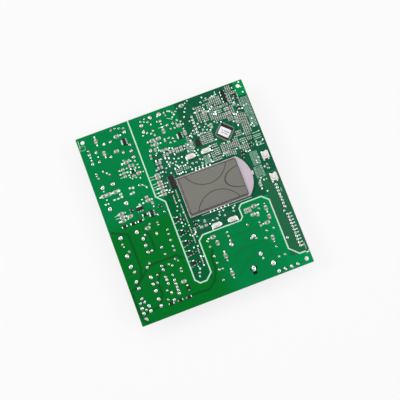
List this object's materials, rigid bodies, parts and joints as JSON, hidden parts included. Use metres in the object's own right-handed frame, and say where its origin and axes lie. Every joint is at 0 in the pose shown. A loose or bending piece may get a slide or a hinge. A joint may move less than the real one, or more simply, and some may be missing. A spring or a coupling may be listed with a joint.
{
  "type": "boiler control board",
  "caption": "Green heating control circuit board with a grey segment display, push keys, a turned microcontroller, soldered joints and mains parts on its hidden side.",
  "frame": {"origin": "centre of the four fixing holes, on the solder-side face that carries the display", "axes": "+Z out of the solder side, +X along the board's short side to the right with the display upright, +Y up the board along its long side"},
  "size_m": [0.1356, 0.15, 0.0264],
  "materials": {
    "board": "glossy green solder mask over glass epoxy",
    "print_ink": "flat pale ink",
    "solder": "bright solder",
    "tinned_wire": "tinned",
    "white_film": "white",
    "light_guide": "milky lilac acrylic",
    "display_glass": "clear glass over grey cell",
    "seal": "dark seal",
    "polariser": "smooth grey film",
    "black_epoxy": "moulded black epoxy",
    "label_paper": "white label",
    "tan_ceramic": "tan ceramic",
    "dark_ceramic": "dark ceramic",
    "key_plastic": "white moulded",
    "ferrite": "dark ferrite",
    "bobbin_plastic": "black moulded",
    "winding_tape": "yellow tape",
    "copper_winding": "enamelled copper",
    "relay_case": "moulded black",
    "potting_case": "moulded red-brown",
    "film_case": "moulded yellow",
    "varistor_coat": "dipped blue",
    "sleeve": "dark shrunk sleeve",
    "shrink_sleeve": "black shrink tube",
    "steel_can": "plain can",
    "fuse_glass": "clear tube",
    "plated_brass": "nickel plated",
    "connector_white": "natural nylon",
    "connector_black": "black moulded",
    "resistor_coat": "tan coat"
  },
  "bodies": {
    "board": {"axial_resistors": "resistor_coat", "backlight_led": "white_film", "bridge_rectifier": "black_epoxy", "bulk_capacitor": "sleeve", "chip_capacitors": "tan_ceramic", "chip_label": "label_paper", "chip_resistors": "dark_ceramic", "choke_base": "bobbin_plastic", "choke_core": "ferrite", "choke_windings": "copper_winding", "circuit_board": "board", "component_leads": "tinned_wire", "connector_pins": "tinned_wire", "disc_capacitors": "varistor_coat", "display_pins": "tinned_wire", "display_reflector": "white_film", "driver_chip": "black_epoxy", "edge_connectors": "connector_white", "film_capacitors": "film_case", "front_glass": "display_glass", "front_polariser": "polariser", "fuse_caps": "plated_brass", "fuse_clips": "plated_brass", "fuse_glass": "fuse_glass", "glass_seal": "seal", "ignition_spade": "plated_brass", "ignition_transformer": "potting_case", "isolation_line": "print_ink", "key_leads": "tinned_wire", "light_guide": "light_guide", "long_key_bases": "key_plastic", "memory_chip": "black_epoxy", "microcontroller": "black_epoxy", "microcontroller_leads": "tinned_wire", "output_capacitor": "sleeve", "output_choke": "shrink_sleeve", "power_connector": "connector_white", "power_transistors": "black_epoxy", "quartz_crystal": "steel_can", "rear_glass": "display_glass", "relays": "relay_case", "service_header": "connector_black", "small_capacitors": "sleeve", "small_outline_leads": "tinned_wire", "solder_joints": "solder", "square_key_bases": "key_plastic", "surface_diodes": "black_epoxy", "surface_transistors": "black_epoxy", "transformer_bobbin": "bobbin_plastic", "transformer_core": "ferrite", "transformer_winding": "winding_tape", "varistors": "varistor_coat", "wire_links": "tinned_wire"},
    "key_1": {"key_cap_1": "key_plastic"},
    "key_2": {"key_cap_2": "key_plastic"},
    "key_3": {"key_cap_3": "key_plastic"},
    "key_4": {"key_cap_4": "key_plastic"},
    "key_5": {"key_cap_5": "key_plastic"},
    "key_6": {"key_cap_6": "key_plastic"}
  },
  "joints": [
    {"name": "key_1_press", "type": "slide", "parent": "board", "child": "key_1", "axis": [0, 0, -1], "range_m": [0, 0.00025], "stiffness_N_per_m": 400},
    {"name": "key_2_press", "type": "slide", "parent": "board", "child": "key_2", "axis": [0, 0, -1], "range_m": [0, 0.00025], "stiffness_N_per_m": 400},
    {"name": "key_3_press", "type": "slide", "parent": "board", "child": "key_3", "axis": [0, 0, -1], "range_m": [0, 0.00025], "stiffness_N_per_m": 400},
    {"name": "key_4_press", "type": "slide", "parent": "board", "child": "key_4", "axis": [0, 0, -1], "range_m": [0, 0.00025], "stiffness_N_per_m": 400},
    {"name": "key_5_press", "type": "slide", "parent": "board", "child": "key_5", "axis": [0, 0, -1], "range_m": [0, 0.00025], "stiffness_N_per_m": 400},
    {"name": "key_6_press", "type": "slide", "parent": "board", "child": "key_6", "axis": [0, 0, -1], "range_m": [0, 0.00025], "stiffness_N_per_m": 400}
  ]
}
